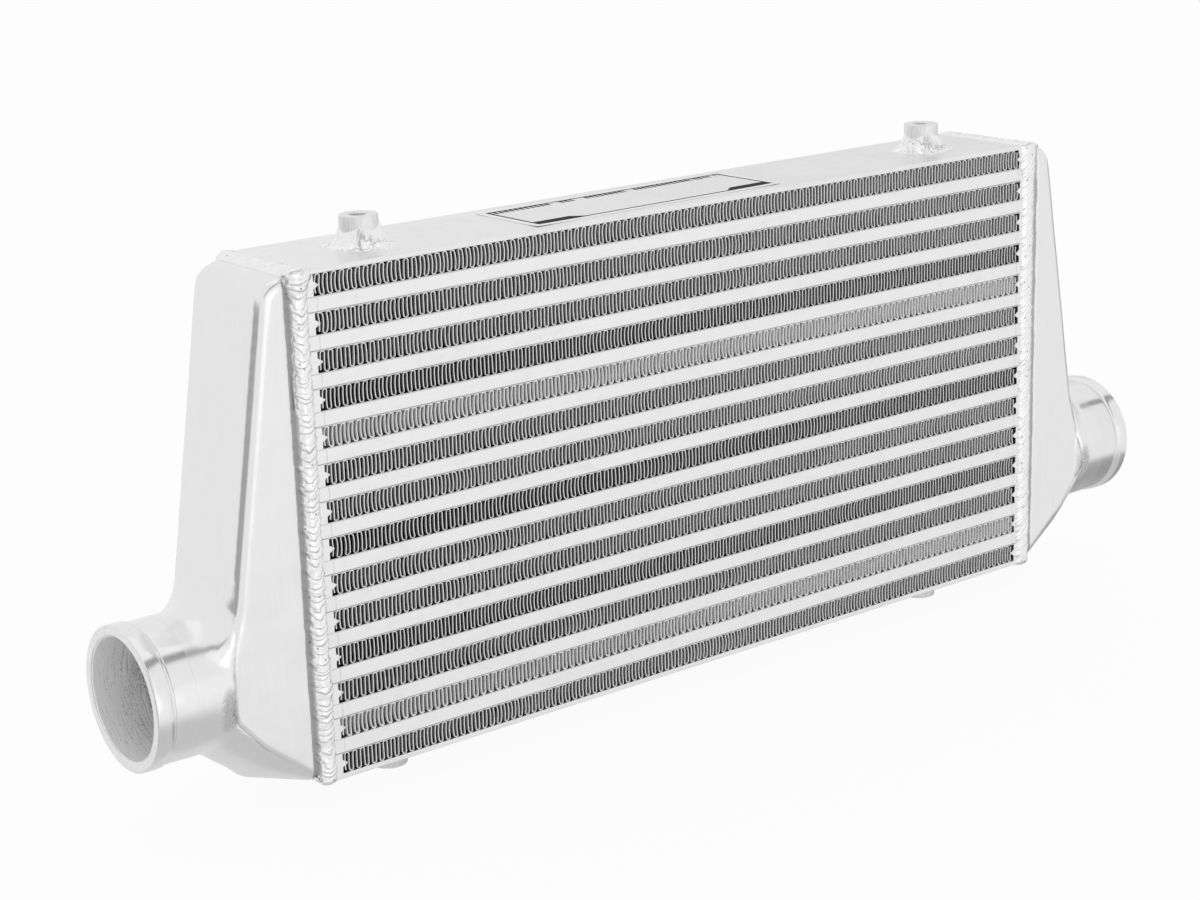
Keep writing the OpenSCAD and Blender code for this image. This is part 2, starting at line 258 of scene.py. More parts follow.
def turnedMetal():
    look = {
        "tone": 0.86, "roughness": 0.15, "groove": 0.006, "faceSpeck": 0.5, "faceMatt": 0.15,
        "boreTone": 1.0, "boreMetallic": 0.2, "boreGroove": 0.2, "boreMatt": 0.3, "scratch": 3.2,
        "ring": 0.6, "boreSpeck": 1.6, "pit": 0.4, "mouth": 0.2, "mouthDepth": 12, "streak": 0.6,
        "streakDepth": 27, "streakWidth": 3, "streakFrom": 8, "wander": 8,
    }
    paint = Paint("turnedMetal")
    x, y, z = paint.axes(paint.place)
    up = z - neck["z"]
    bore = (y * y + up * up).math("SQRT").below(neck["boreRadius"] + 0.4, 0.1)
    face = x.size().above(neck["end"] - 0.3, 0.1)
    warp = paint.grain(0.09, 3)
    fineRings = paint.grain(1.0, 4, 0.75, (3.2, 0.05, 0.05))
    rings = paint.grain(1.0, 3, 0.7, (0.9, 0.07, 0.07))
    scratch = paint.grain(1.0, 5, 0.8, (1.9, 0.05, 0.05))
    speck = paint.grain(1.1, 4, 0.7)
    pit = paint.pits(0.7).below(0.16, 0.06) * warp.above(0.52, 0.06)
    depth = neck["end"] - x.size() + warp.swing(look["wander"])
    streak = (depth - look["streakDepth"]).size().below(look["streakWidth"], 3)
    streak = streak * (y + up * 0.3).above(look["streakFrom"], 8) * paint.grain(1.3, 3).above(0.47, 0.08)
    boreTone = look["boreTone"] + scratch.swing(look["scratch"]) + rings.swing(look["ring"])
    boreTone = boreTone + speck.swing(look["boreSpeck"]) - pit * look["pit"] - streak * look["streak"]
    # painted light: the bore is lighter near its mouth, where the light falls in
    boreTone = boreTone + depth.below(look["mouthDepth"], 12) * look["mouth"]
    tone = look["tone"] + warp.swing(0.1) + fineRings.swing(0.08) + face * speck.swing(look["faceSpeck"])
    tone = tone.toward(boreTone, bore)
    paint.feed(paint.shader.inputs["Metallic"], 1 - bore * (1 - look["boreMetallic"]))
    roughness = look["roughness"] + bore * look["boreMatt"] + face * look["faceMatt"] + warp.swing(0.1)
    normal = paint.bumped(fineRings, look["groove"])
    normal = paint.bumped((fineRings + rings + speck * 0.6) * bore, look["boreGroove"], normal)
    return paint.done(tone, roughness, normal)


def rolledMetal(name, tone, spread, seams=False):
    look = {"roughness": 0.3, "matt": 0.12, "scratch": 0.02, "dent": 0.6, "scuff": 0.06, "seam": 0.16,
            "seamAt": 10.6}
    paint = Paint(name)
    cloud = paint.grain(0.03, 3)
    streaks = paint.grain(1.0, 5, 0.65, (0.02, 1.6, 1.6))
    scuff = paint.grain(0.16, 4, 0.7).above(0.6, 0.08) * paint.grain(0.9, 3).above(0.5, 0.15)
    shade = tone + cloud.swing(spread) + streaks.swing(spread * 1.4) - scuff * look["scuff"]
    if seams:  # a faint line across each bar, above the inner edge of the end bars
        fromSeam = (paint.axes(paint.place)[0].size() - (core["end"] - look["seamAt"])).size()
        shade = shade - fromSeam.below(0.3, 0.15) * paint.grain(0.2).above(0.4, 0.1) * look["seam"]
    roughness = look["roughness"] + cloud.swing(look["matt"]) + streaks.swing(look["matt"]) + scuff * 0.1
    normal = paint.bumped(streaks, look["scratch"])
    normal = paint.bumped(cloud, look["dent"], normal)
    return paint.done(shade, roughness, normal)


# the last two values weaken the painted highlight on the fins' front edges at the upper and lower crests
fins = {
    "gauge": 0.42, "pitch": (1.99, 2.16), "crest": 0.85, "legSteps": 6, "arcSteps": 3, "bow": 0.75,
    "lean": 0.3, "recess": 0.45, "overrun": 1.9, "lightRows": (5, 13), "darkRows": (4, 8, 11), "seed": 7,
    "stretch": 0.05, "upperStain": 0.3, "lowerStain": 0.65,
}


def finMetal(name, tone, metallic, deep):
    look = {"edge": 0.93, "edgeDepth": 0.1, "deepAt": 2.2, "streak": 0.2, "mottle": 0.14, "roughness": 0.42}
    paint = Paint(name)
    y = paint.axes(paint.place)[1]
    inward = core["face"] - fins["recess"] - y.size()  # painted shade deeper inside, painted highlight on the front edges
    # painted highlight: the front edges are painted light and made fully metallic, less so at the crests
    edge = inward.below(look["edgeDepth"], 0.05) * (1 - paint.stored("crest"))
    # painted shade: the walls darken from the front towards the share of their tone kept deep inside
    outer = inward.below(look["deepAt"] / 2, look["deepAt"] / 2)
    streaks = paint.grain(1.0, 3, 0.6, (1.2, 0.1, 0.35))
    shade = tone * (deep + outer * (1 - deep)) + streaks.swing(look["streak"])
    shade = (shade + paint.grain(0.06, 2).swing(look["mottle"])).toward(look["edge"], edge)
    paint.feed(paint.shader.inputs["Metallic"], metallic + edge * (1 - metallic))
    return paint.done(shade, look["roughness"] + streaks.swing(look["streak"]))


def weldMetal():
    look = {"tone": 0.93, "mottle": 0.16, "speck": 0.1, "pin": 0.5, "pinDepth": 0.15, "roughness": 0.24,
            "skin": 0.03, "crease": 0.6}
    paint = Paint("weldMetal")
    skin = paint.grain(1.5, 4, 0.6)
    pin = paint.pits(0.24).below(0.1, 0.03)
    tone = look["tone"] + paint.grain(0.18, 3).swing(look["mottle"]) + skin.swing(look["speck"])
    # painted shade: the stored creases of the ripples and lumps are darker, and so are the small pits,
    # which are also dented
    tone = tone - pin * look["pin"] - paint.stored("crease") * look["crease"]
    roughness = look["roughness"] + skin.swing(0.2)
    normal = paint.bumped(skin, look["skin"])
    normal = paint.bumped(1 - pin, look["pinDepth"], normal)
    return paint.done(tone, roughness, normal)


def bungMetal():
    look = {"tone": 0.84, "streak": 0.7, "mottle": 0.1, "roughness": 0.45, "mark": 0.2}
    paint = Paint("bungMetal")
    marks = paint.grain(1.0, 4, 0.7, (1.7, 1.7, 0.16))
    tone = look["tone"] + marks.swing(look["streak"]) + paint.grain(0.2, 3).swing(look["mottle"])
    normal = paint.bumped(marks, look["mark"])
    return paint.done(tone, look["roughness"] + marks.swing(0.3), normal)


label = {
    "length": 150, "depth": 47, "gauge": 0.3, "x": -20, "turn": 1, "frame": 3.2, "line": 1.5, "wedge": 30,
    "wedgeDepth": 6.5, "wedgeSlant": 1.2, "hatch": 5.5, "ticks": 2.1, "curl": 0.25, "wave": 0.05,
}


def labelFoil():
    look = {"tone": 0.84, "mottle": 0.1, "rim": 0.08, "roughness": 0.24, "dent": 0.5, "blur": 0.12,
            "ink": (0.012, 0.012, 0.014, 1), "inkCover": 0.94}
    paint = Paint("labelFoil", 0.85, 0.3)
    turned = {"Vector": paint.place, "Location": (-label["x"], 0, 0),
              "Rotation": (0, 0, -math.radians(label["turn"]))}
    x, y = paint.axes(paint.node("ShaderNodeMapping", {"vector_type": "POINT"}, turned))[:2]
    halfLength = label["length"] / 2 - label["frame"]
    halfDepth = label["depth"] / 2 - label["frame"]

    def field(inset):  # 1 inside the printed frame
        across = x.size().below(halfLength - inset, look["blur"])
        return across * y.size().below(halfDepth - inset, look["blur"])

    within = field(0)
    wedgeEnd = x.size() - (y + halfDepth) * label["wedgeSlant"]  # each wedge is cut off at a slant
    wedges = wedgeEnd.above(halfLength - label["wedge"], 0.15)
    wedges = wedges * y.below(label["wedgeDepth"] - halfDepth, look["blur"])
    ticks = (x * label["ticks"]).math("SINE").above(-0.5, 0.25)
    ticks = ticks * paint.grain(0.12, 1, 0.5, (1, 0.02, 0.02)).above(0.4, 0.02)
    hatch = y.above(halfDepth - label["hatch"], look["blur"]) * ticks
    ink = (within - field(label["line"]) + (wedges + hatch) * within).clamped()
    cloud = paint.grain(0.08, 3)
    crease = paint.grain(0.5, 4, 0.6, (0.2, 1, 1))
    foil = look["tone"] + cloud.swing(look["mottle"]) + (1 - within) * look["rim"]
    normal = paint.bumped(cloud + crease * 0.2, look["dent"])
    material = paint.done(foil, look["roughness"] + crease.swing(0.06), normal)
    shine = Wire(paint, paint.shader.outputs["BSDF"])
    black = paint.node("ShaderNodeBsdfDiffuse", {}, {"Color": look["ink"]})
    paint.surface("Material", paint.blended(ink * look["inkCover"], shine, black))
    return material


materials = {
    "cast": castMetal(),
    "turned": turnedMetal(),
    "plate": rolledMetal("plateMetal", 0.87, 0.13),  # tone and spread
    "bar": rolledMetal("barMetal", 0.9, 0.07, seams=True),
    "sheet": rolledMetal("sheetMetal", 0.72, 0.1),
    "weld": weldMetal(),
    "bung": bungMetal(),
    "label": labelFoil(),
    "fin": finMetal("finMetal", 0.72, 0.15, 0.03),  # tone, metallic and share of the tone left deep inside by the painted shade
    "finLight": finMetal("finLightMetal", 1.5, 0.05, 0.2),
    "finDark": finMetal("finDarkMetal", 0.42, 0.15, 0.02),
    "chargeFin": finMetal("chargeFinMetal", 0.6, 0.4, 0.3),
}
print("materials made:", len(materials))


# Making and finishing meshes

def at(x, y, z):
    return Matrix.Translation((x, y, z))


def alongX(x, y, z):  # turns a shape made along Z to lie along X
    return at(x, y, z) @ Matrix.Rotation(math.pi / 2, 4, "Y")


def block(bm, low, high):
    low, high = Vector(low), Vector(high)
    size = high - low
    stretch = Matrix.Diagonal((size.x, size.y, size.z, 1))
    return bmesh.ops.create_cube(bm, size=1, matrix=Matrix.Translation((low + high) / 2) @ stretch)["verts"]


def softenEdges(bm, width):
    edges = [e for e in bm.edges if e.calc_face_angle(0) > math.radians(30)]
    bmesh.ops.bevel(bm, geom=edges, offset=width, offset_type="OFFSET", affect="EDGES", segments=2,
                    profile=0.5, material=-1)


def faceOutward(bm):
    bmesh.ops.recalc_face_normals(bm, faces=bm.faces[:])


def lathe(bm, profile, steps, axis="X", centre=(0, 0, 0)):  # profile holds (place on the axis, radius)
    if axis == "X":
        corners = [bm.verts.new((a, 0, r)) for a, r in profile]
        direction = (1, 0, 0)
    else:
        corners = [bm.verts.new((r, 0, a)) for a, r in profile]
        direction = (0, 0, 1)
    edges = [bm.edges.new((corners[i - 1], corners[i])) for i in range(1, len(corners))]
    bmesh.ops.spin(bm, geom=corners + edges, cent=(0, 0, 0), axis=direction, angle=math.tau, steps=steps,
                   use_merge=True, use_duplicate=False)
    bmesh.ops.remove_doubles(bm, verts=bm.verts[:], dist=0.0005)
    bmesh.ops.translate(bm, vec=centre, verts=bm.verts[:])


def applyModifiers(piece):
    depsgraph = bpy.context.evaluated_depsgraph_get()
    mesh = bpy.data.meshes.new_from_object(piece.evaluated_get(depsgraph))
    piece.modifiers.clear()
    piece.data = mesh


def newObject(name, data):
    made = bpy.data.objects.new(name, data)
    bpy.context.scene.collection.objects.link(made)
    return made


def looseObject(name, bm):
    mesh = bpy.data.meshes.new(name)
    bm.to_mesh(mesh)
    bm.free()
    return newObject(name, mesh)


def finishPiece(name, bm, material, replaced=(), sharp=40, recalculate=True):
    if recalculate:
        faceOutward(bm)
    bmesh.ops.transform(bm, matrix=Matrix.Scale(mm, 4), verts=bm.verts[:])
    piece = looseObject(name, bm)
    piece.data.shade_smooth()
    piece.data.set_sharp_from_angle(angle=math.radians(sharp))
    piece.data.materials.append(materials[material])
    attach(piece, "root")
    if replaced:
        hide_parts(*replaced)
    return piece


def mirrored(bm, side):  # shapes are made on the right and turned over for the left
    if side == left:
        bmesh.ops.scale(bm, vec=(-1, 1, 1), verts=bm.verts[:])
        bmesh.ops.reverse_faces(bm, faces=bm.faces[:])


def closeRims(bm):  # joins the two open rims of a rolled up grid
    bmesh.ops.remove_doubles(bm, verts=bm.verts[:], dist=0.01)
    bmesh.ops.bridge_loops(bm, edges=[e for e in bm.edges if e.is_boundary])


def limited(value, low=0, high=1):
    return max(low, min(high, value))


def drawn(place, scale, *shift):  # noise at a place that is scaled and then shifted
    return noise.noise(place * scale + Vector(shift + (0,) * (3 - len(shift))))


# End tanks

tank = {
    "half": nodeBox("seam_weld_right")[1].y - 2.8, "rimCorner": 4, "rimDepth": 3,
    "shoulderReach": 17, "shoulderRadius": 11, "shoulderDrop": 2.5, "foldRadius": 5, "neckRoot": 43.5,
    "bellyReaches": ((33, 8.0), (28, 3.4), (21, 1.4), (12, 0.6)), "bellyRadius": 30.4,  # reach and lift
    "throatReach": 49.5, "throatWidth": 48, "wall": 3.2, "boreRoom": 0.7,
    "castEnd": 285, "flare": 15, "flareInset": 14, "flareSteps": 12, "flareLayers": 5, "lean": 0.152,
    "rooted": 4, "voxel": 1.0, "wobble": 0.12, "bevel": 1.9, "bevelWidth": 6, "rimSteps": 24,
    "shoulderSteps": 12, "roundSteps": 96, "neckSteps": 128,
}
rootZone = {"from": -14, "to": 12, "inset": 3, "above": 2, "passes": 30, "roundFrom": 7, "roundOver": 7}


def hullOf(bm):  # the convex hull of the corners in bm takes the place of its faces
    bmesh.ops.delete(bm, geom=bm.edges[:], context="EDGES_FACES")
    hull = bmesh.ops.convex_hull(bm, input=bm.verts[:])
    inner = [v for v in hull["geom_interior"] if isinstance(v, bmesh.types.BMVert)]
    bmesh.ops.delete(bm, geom=inner, context="VERTS")


def cutOff(bm, point, normal):
    everything = bm.verts[:] + bm.edges[:] + bm.faces[:]
    cut = bmesh.ops.bisect_plane(bm, geom=everything, plane_co=point, plane_no=normal, clear_outer=True)
    edges = [e for e in cut["geom_cut"] if isinstance(e, bmesh.types.BMEdge)]
    bmesh.ops.edgeloop_fill(bm, edges=edges)


def trimSides(bm, half):
    for side in (front, back):
        cutOff(bm, (0, side * half, 0), (0, side, 0))


def bellyDiscs():
    discs = [(tank["neckRoot"], neck["z"], neck["radius"])]
    for reach, lift in tank["bellyReaches"]:
        discs.append((reach, core["bottom"] + lift + tank["bellyRadius"], tank["bellyRadius"]))
    return discs


def throat():  # the belly's end, which runs out under the neck
    bm = bmesh.new()
    steps = tank["roundSteps"]
    for x, z, radius in bellyDiscs()[:2]:
        bmesh.ops.create_circle(bm, segments=steps, radius=radius, matrix=alongX(core["end"] + x, 0, z))
    radius = tank["throatWidth"] / 2
    place = alongX(core["end"] + tank["throatReach"], 0, neck["z"] - neck["radius"] + radius)
    bmesh.ops.create_circle(bm, segments=steps, radius=radius, matrix=place)
    hullOf(bm)
    trimSides(bm, tank["half"])
    faceOutward(bm)
    return bm


def tankBody(inset, start):
    bm = bmesh.new()
    half, fold = tank["half"], tank["foldRadius"]
    shoulderX = core["end"] + tank["shoulderReach"] - tank["shoulderRadius"]
    shoulderZ = core["top"] - tank["shoulderDrop"] - tank["shoulderRadius"]
    rimLow = core["bottom"] + core["face"] - half + tank["rimCorner"]
    rimHigh = core["top"] - core["face"] + half - tank["rimCorner"]

    def knob(x, y, z, steps):  # rounds one corner of the hull
        bmesh.ops.create_uvsphere(bm, u_segments=2 * steps, v_segments=steps, radius=fold - inset,
                                  matrix=at(x, y, z))

    for side in (front, back):
        for z in (rimLow, rimHigh):
            for x in (start, tank["rimDepth"]):
                place = alongX(core["end"] + x, side * (half - tank["rimCorner"]), z)
                radius = tank["rimCorner"] - inset
                bmesh.ops.create_circle(bm, segments=tank["rimSteps"], radius=radius, matrix=place)
        y, reach = side * (half - fold), tank["shoulderRadius"] - fold
        for step in range(tank["shoulderSteps"]):
            angle = math.tau * step / tank["shoulderSteps"]
            knob(shoulderX + reach * math.cos(angle), y, shoulderZ + reach * math.sin(angle), 8)
        knob(core["end"] + tank["neckRoot"] - fold, y, neck["z"], 16)
    for x, z, radius in bellyDiscs()[1:]:
        place = alongX(core["end"] + x - inset, 0, z)
        bmesh.ops.create_circle(bm, segments=tank["roundSteps"], radius=radius - inset, matrix=place)
    hullOf(bm)
    trimSides(bm, half - inset)
    cutOff(bm, (core["end"] + start, 0, 0), (-1, 0, 0))
    faceOutward(bm)
    return bm


def neckStub(radius, start, end):
    bm = bmesh.new()
    bmesh.ops.create_cone(bm, cap_ends=True, segments=tank["neckSteps"], radius1=radius, radius2=radius,
                          depth=end - start, matrix=alongX((start + end) / 2, 0, neck["z"]))
    return bm


def rootFlare(turn):  # one layer of the hollow fillet between the outer face and the neck
    bm = bmesh.new()
    root, fold = core["end"] + tank["neckRoot"], tank["foldRadius"]
    centre = tank["flare"] - 0.3
    radius = tank["flare"] + fold * (1 - math.cos(turn))
    profile = [(root - tank["flareInset"], 1)]
    for step in range(tank["flareSteps"] + 1):
        angle = math.radians(90 * step / tank["flareSteps"])
        r = neck["radius"] + tank["flare"] - radius * math.sin(angle)
        profile.append((root + centre - radius * math.cos(angle), r))
    profile.insert(1, (root - tank["flareInset"], profile[1][1]))
    profile.append((root + centre, 1))
    lathe(bm, profile, tank["roundSteps"], "X", (0, 0, neck["z"]))
    for v in bm.verts:
        v.co.x -= tank["lean"] * (v.co.z - neck["z"])
    trimSides(bm, tank["half"] - fold + fold * math.sin(turn))
    cutOff(bm, (0, 0, neck["z"]), (0, 0, -1))
    faceOutward(bm)
    return bm


def castSkin():  # outer skin of the right tank, as one closed casting
    layers = tank["flareLayers"]
    shapes = [tankBody(0, -tank["rooted"]), throat()]
    shapes += [rootFlare(math.radians(90 * layer / layers)) for layer in range(layers + 1)]
    shapes += [neckStub(neck["radius"], core["end"] + tank["neckRoot"] - 2, tank["castEnd"] + 4)]
    whole = bmesh.new()
    for shape in shapes:
        part = bpy.data.meshes.new("part")
        shape.to_mesh(part)
        shape.free()
        whole.from_mesh(part)
    skin = looseObject("castSkin", whole)
    remesh = skin.modifiers.new("oneCasting", "REMESH")
    remesh.mode = "VOXEL"
    remesh.voxel_size = tank["voxel"]
    soften = skin.modifiers.new("soften", "SMOOTH")
    soften.factor = 0.5
    soften.iterations = 6
    applyModifiers(skin)
    return skin


def relaxRoot(bm):  # softens the foot of the neck all round, and evens the neck out
    root = core["end"] + tank["neckRoot"]
    start, end, side = root + rootZone["from"], root + rootZone["to"], tank["half"] - rootZone["inset"]
    top = neck["z"] + neck["radius"] + tank["flare"] + rootZone["above"]
    near = [v for v in bm.verts if start < v.co.x < end and abs(v.co.y) < side and v.co.z < top]
    for step in range(rootZone["passes"]):
        bmesh.ops.smooth_vert(bm, verts=near, factor=0.5, use_axis_x=True, use_axis_y=True, use_axis_z=True)
    for v in bm.verts:
        out = Vector((0, v.co.y, v.co.z - neck["z"]))
        if out.length > neck["radius"] - 1:
            share = limited((v.co.x - root - rootZone["roundFrom"]) / rootZone["roundOver"])
            v.co += out * ((neck["radius"] / out.length - 1) * share)
    cutOff(bm, (tank["castEnd"], 0, 0), (1, 0, 0))


def bevelRim(bm):  # the rim slopes inwards to the joint, as a weld preparation
    for v in bm.verts:
        depth = tank["bevel"] * limited((core["end"] + tank["bevelWidth"] - v.co.x) / tank["bevelWidth"])
        v.co.y *= 1 - depth / tank["half"]
        v.co.z = core["middle"] + (v.co.z - core["middle"]) * (1 - depth * 2 / core["height"])


def hollowOut(skin):
    bore = neckStub(neck["boreRadius"] + tank["boreRoom"], core["end"] + 30, tank["castEnd"] + 9)
    mouth = bmesh.new()
    block(mouth, (core["end"] - 20, -50, 0), (core["end"], 50, core["top"] + 20))
    for shape in (tankBody(tank["wall"], -1), bore, mouth):
        cutter = looseObject("cutter", shape)
        hollow = skin.modifiers.new("hollow", "BOOLEAN")
        hollow.operation = "DIFFERENCE"
        hollow.solver = "EXACT"
        hollow.object = cutter
        applyModifiers(skin)
        bpy.data.objects.remove(cutter)


def makeTanks():
    skin = castSkin()
    bm = bmesh.new()
    bm.from_mesh(skin.data)
    relaxRoot(bm)
    bevelRim(bm)
    bm.to_mesh(skin.data)
    bm.free()
    hollowOut(skin)
    for side, name in ((left, "Left"), (right, "Right")):
        bm = bmesh.new()
        bm.from_mesh(skin.data)
        bm.normal_update()
        for v in bm.verts:  # hand ground castings are never quite flat
            wave = noise.noise(v.co * 0.035 + Vector((0, 0, 40 * side)))
            v.co += v.normal * wave * tank["wobble"]
        mirrored(bm, side)
        node = "end_tank_" + name.lower()
        finishPiece("tank" + name, bm, "cast", (node,), 60, recalculate=False)
    bpy.data.objects.remove(skin)


neckRing = {
    "landStart": 283, "land": 31.68, "groove": 31.1, "beadWidth": 8, "edge": 0.75, "edgeSteps": 6,
    "mouth": 0.8, "lining": 38, "rooted": (30, 29), "steps": 160,
}


def makeNeckRings():
    end, bead, bore, land = neck["end"], neck["beadRadius"] - 0.1, neck["boreRadius"], neckRing["land"]
    edge, mouth, groove = neckRing["edge"], neckRing["mouth"], neckRing["groove"]
    landStart = neckRing["landStart"]
    beadStart, inside = end - neckRing["beadWidth"], end - neckRing["lining"]
    profile = [(inside, bore), (end - mouth, bore), (end - 0.15, bore + mouth - 0.15), (end, bore + mouth)]
    for step in range(neckRing["edgeSteps"] + 1):
        angle = math.radians(90 * step / neckRing["edgeSteps"])
        profile.append((end - edge * (1 - math.cos(angle)), bead - edge * (1 - math.sin(angle))))
    profile += [(end - 4, bead + 0.1), (beadStart + 1, bead), (beadStart + 0.3, bead - 0.35),
                (beadStart - 0.3, groove), (beadStart - 1, groove), (beadStart - 1.5, land - 0.04),
                (beadStart - 2, land), (landStart + 0.5, land), (landStart, land - 0.5),
                (landStart, neckRing["rooted"][0]), (inside, neckRing["rooted"][1]), (inside, bore)]
    for side, name in ((left, "Left"), (right, "Right")):
        bm = bmesh.new()
        lathe(bm, profile, neckRing["steps"], "X", (0, 0, neck["z"]))
        mirrored(bm, side)
        finishPiece("neckRing" + name, bm, "turned", sharp=35)


makeTanks()
makeNeckRings()
print("end tanks made")


# Core: bars and plates

bars = {"edge": 0.35, "nose": 2.5, "noseRoot": 3.4, "noseTip": 0.5, "endWidth": 9}


def makePlates():
    for level in ("top", "bottom"):
        bm = bmesh.new()
        low, high = nodeBox("side_plate_" + level)
        block(bm, low, high)
        softenEdges(bm, 0.3)
        finishPiece("sidePlate" + level.capitalize(), bm, "plate", ("side_plate_" + level,), 15)


def makeFaceBars():
    width = nodeBox("front_bars")[1].y - nodeBox("front_bars")[0].y
    for side, name in ((front, "front"), (back, "back")):
        bm = bmesh.new()
        for row in chargeRows:
            low, high = nodeBox(row)
            outer, inner = side * core["face"], side * (core["face"] - width)
            block(bm, (-core["end"], min(outer, inner), low.z), (core["end"], max(outer, inner), high.z))
        softenEdges(bm, bars["edge"])
        finishPiece(name + "Bars", bm, "bar", (name + "_bars",), 15)


def endBar(bm, low, high):  # a bar with a blunt nose on its inner face
    corners = block(bm, low, high)
    inner = next(f for v in corners for f in v.link_faces if f.normal.x < -0.9)
    height, middle = high[2] - low[2], (high[2] + low[2]) / 2

    def stretchTo(face, share):
        matrix = Matrix.Diagonal((1, 1, share, 1))
        bmesh.ops.transform(bm, matrix=matrix, space=at(0, 0, -middle), verts=face.verts[:])

    bmesh.ops.inset_individual(bm, faces=[inner], thickness=0.001, use_even_offset=False)
    stretchTo(inner, bars["noseRoot"] / height)
    tip = bmesh.ops.extrude_discrete_faces(bm, faces=[inner])["faces"][0]
    bmesh.ops.translate(bm, vec=(-bars["nose"], 0, 0), verts=tip.verts[:])
    stretchTo(tip, bars["noseTip"] / bars["noseRoot"])


def makeEndBars():
    for side, name in ((left, "left"), (right, "right")):
        bm = bmesh.new()
        for row in airRows:
            low, high = nodeBox(row)
            start = core["end"] - bars["endWidth"]
            endBar(bm, (start, -core["face"], low.z), (core["end"], core["face"], high.z))
        mirrored(bm, side)
        finishPiece(name + "EndBars", bm, "bar", (name + "_end_bars",), 15)


makePlates()
makeFaceBars()
makeEndBars()
print("bars and plates made")


# Ambient air fins: one folded strip in each row

def finShape(height, pitch):  # one leg and one crest, going up: (place along the strip, height)
    top, crest, steps = height / 2, fins["crest"], fins["legSteps"]
    leg = [(0, -(top - crest) + 2 * (top - crest) * i / steps) for i in range(steps)]
    rise = [math.pi / 2 * i / fins["arcSteps"] for i in range(fins["arcSteps"] + 1)]
    up = [(crest - crest * math.cos(a), top - crest + crest * math.sin(a)) for a in rise]
    down = [(pitch - crest + crest * math.sin(a), top - crest + crest * math.cos(a)) for a in rise[:-1]]
    return leg + up + down


def finPath(row, low, high):  # the middle of the strip, as points in its front plane
    dice = random.Random(fins["seed"] + row)
    pitch = dice.uniform(*fins["pitch"])
    legs = 2 * round((high.x - low.x) / pitch / 2)
    pitch = (high.x - low.x - fins["gauge"]) / legs
    shape = finShape(high.z - low.z - fins["gauge"], pitch)
    steps = len(shape)
    legBow = [dice.uniform(0.7, 1) * fins["bow"] for i in range(legs + 1)]
    legLean = [dice.uniform(-0.5, 0.5) * fins["lean"] for i in range(legs + 1)]
    drift = dice.uniform(0, 100)
    middle = (low.z + high.z) / 2
    points = []
    for index in range(legs * steps + fins["legSteps"] + 1):
        leg = min(index // steps, legs)
        along, up = shape[index - leg * steps]
        share = up / (high.z - low.z) * 2
        turn = 1 if leg % 2 == 0 else -1
        region = noise.noise(Vector((leg * fins["stretch"], drift, 0)))  # neighbours bow alike
        bow = legBow[leg] * limited(2.5 * region - 0.3, -1)
        bend = (1 - share * share) * bow + share * turn * legLean[leg]
        points.append(Vector((low.x + fins["gauge"] / 2 + leg * pitch + along + bend, middle + up * turn)))
    return points


def makeFin(name, row):
    low, high = nodeBox(name)
    low.x, high.x = low.x - fins["overrun"], high.x + fins["overrun"]
    points = finPath(row, low, high)
    last = len(points) - 1
    reach = core["face"] - fins["recess"]
    bm = bmesh.new()
    bmesh.ops.create_grid(bm, x_segments=last, y_segments=1, size=1)
    crests = bm.verts.layers.float.new("crest")
    straight = (high.z - low.z) / 2 - fins["crest"]
    for v in bm.verts:
        index = round((v.co.x + 1) / 2 * last)
        up = points[index].y - (low.z + high.z) / 2
        # the painted highlight on the front edges is weakened at the crests, more at the lower ones
        crestDim = fins["upperStain"] if up > 0 else fins["lowerStain"]
        v[crests] = limited((abs(up) - straight) / fins["crest"] * 2) * crestDim
        run = points[min(index + 1, last)] - points[max(index - 1, 0)]
        place = points[index] + run.orthogonal().normalized() * v.co.y * fins["gauge"] / 2
        v.co = Vector((place.x, -reach, place.y))
    sides = bmesh.ops.extrude_face_region(bm, geom=bm.faces[:], use_keep_orig=True)["geom"]
    moved = [v for v in sides if isinstance(v, bmesh.types.BMVert)]
    bmesh.ops.translate(bm, vec=(0, 2 * reach, 0), verts=moved)
    tone = "finLight" if row in fins["lightRows"] else "finDark" if row in fins["darkRows"] else "fin"
    finishPiece("airFin%02d" % row, bm, tone, (name,))


for row, name in enumerate(airRows, 1):
    makeFin(name, row)
print("air fins made:", len(airRows))


# Weld round the joint of core and tank

seam = {
    "crown": 1.7, "sinkOnCore": 0.6, "sinkOnTank": 2.8, "corner": 1.2, "step": 0.4, "rows": 26,
    "noiseScale": 0.11, "swell": 0.35, "drift": 1.6, "jitter": 0.55, "lobe": 0.3, "edgeWander": 0.9,
    "creaseWidth": 0.1, "topCrown": 0.45, "topWidth": 1.2, "topRoughness": 0.5, "wrinkle": 0.16,
    "left": {"onCore": 5.7, "onTank": 2.7, "pitch": 3.3, "point": 3.2, "slant": 0.8, "ripple": 0.75,
             "smooth": 1.0},
    "right": {"onCore": 8.0, "onTank": 3.4, "pitch": 2.0, "point": 0.4, "slant": -4.6, "ripple": 0.45,
              "smooth": 0.55},
    # dabs: distance from the lower front corner, half length, extra height and extra width
    "leftDabs": ((226.5, 5.5, 1.3, 2.2), (42, 12, 0.35, 0.5), (160, 14, 0.2, 0.3)),
    "rightDabs": ((224, 9, 0.3, 1.6), (20, 10, 0.2, 0.4)),
}


